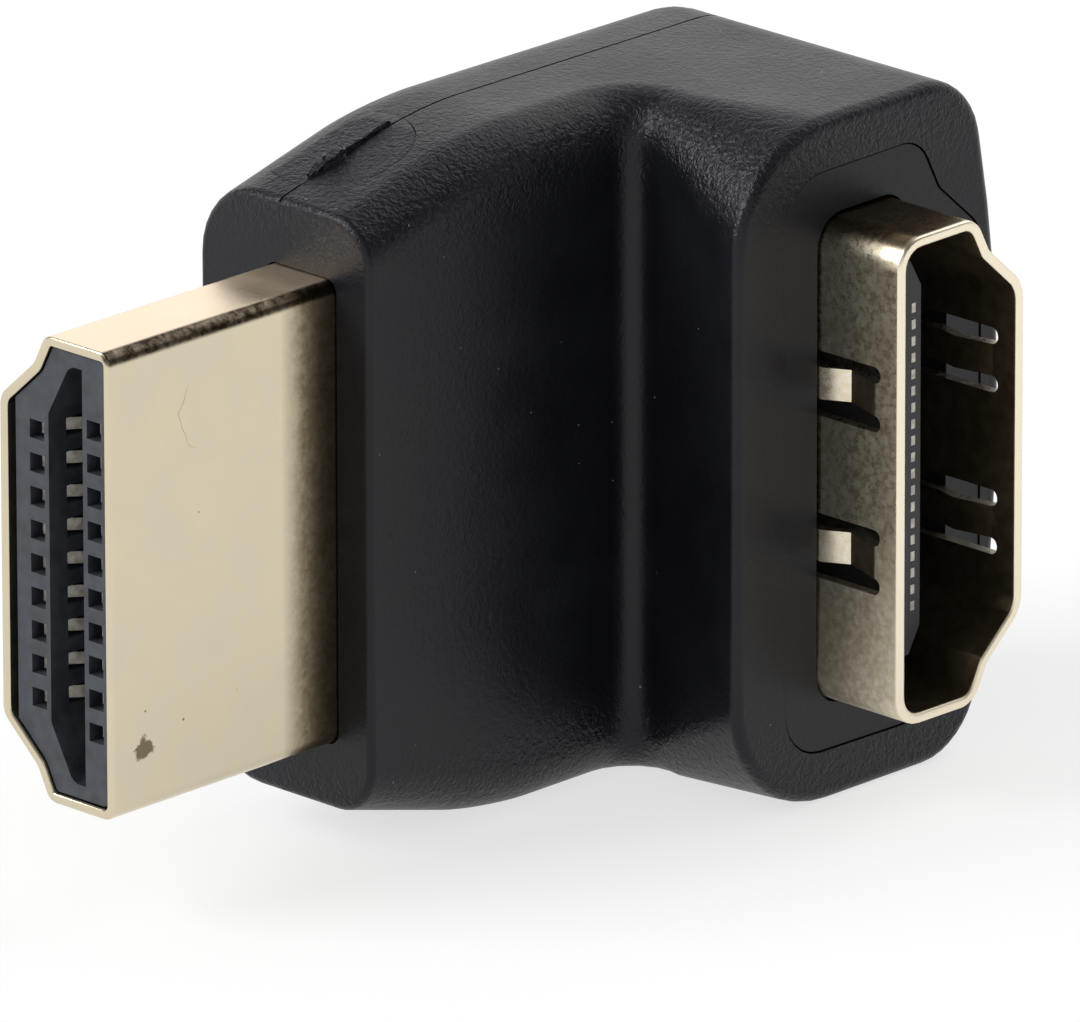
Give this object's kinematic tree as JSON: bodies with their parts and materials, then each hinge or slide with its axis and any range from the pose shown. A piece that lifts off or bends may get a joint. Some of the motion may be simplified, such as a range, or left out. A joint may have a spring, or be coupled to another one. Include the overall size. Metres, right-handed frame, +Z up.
{
  "type": "right angle audio video adapter",
  "caption": "Black moulded right angle adapter with a flat metal plug on one arm and the matching socket on the other.",
  "frame": {"origin": "middle of the part's box on the surface that its underside rests on", "axes": "-X out of the plug, -Y out of the socket, +Z up along the wide way of both connectors"},
  "size_m": [0.0292, 0.0154, 0.0207],
  "materials": {
    "overmould": "fine grain, satin",
    "inner_mould": "smooth, satin",
    "plug_shell": "pale gold plating, satin",
    "socket_shell": "gold bronze plating, satin",
    "insulator": "moulded, satin",
    "board": "lacquered glass fibre laminate",
    "contacts": "gold plated"
  },
  "bodies": {
    "root": {"overmould": "overmould", "inner_mould": "inner_mould", "plug_shell": "plug_shell", "plug_housing": "insulator", "plug_contact_comb": "insulator", "socket_shell": "socket_shell", "socket_housing": "insulator", "circuit_board": "board", "plug_contact_01": "contacts", "plug_contact_02": "contacts", "plug_contact_03": "contacts", "plug_contact_04": "contacts", "plug_contact_05": "contacts", "plug_contact_06": "contacts", "plug_contact_07": "contacts", "plug_contact_08": "contacts", "plug_contact_09": "contacts", "plug_contact_10": "contacts", "plug_contact_11": "contacts", "plug_contact_12": "contacts", "plug_contact_13": "contacts", "plug_contact_14": "contacts", "plug_contact_15": "contacts", "plug_contact_16": "contacts", "plug_contact_17": "contacts", "plug_contact_18": "contacts", "plug_contact_19": "contacts", "socket_contact_01": "contacts", "socket_contact_02": "contacts", "socket_contact_03": "contacts", "socket_contact_04": "contacts", "socket_contact_05": "contacts", "socket_contact_06": "contacts", "socket_contact_07": "contacts", "socket_contact_08": "contacts", "socket_contact_09": "contacts", "socket_contact_10": "contacts", "socket_contact_11": "contacts", "socket_contact_12": "contacts", "socket_contact_13": "contacts", "socket_contact_14": "contacts", "socket_contact_15": "contacts", "socket_contact_16": "contacts", "socket_contact_17": "contacts", "socket_contact_18": "contacts", "socket_contact_19": "contacts"}
  },
  "joints": []
}
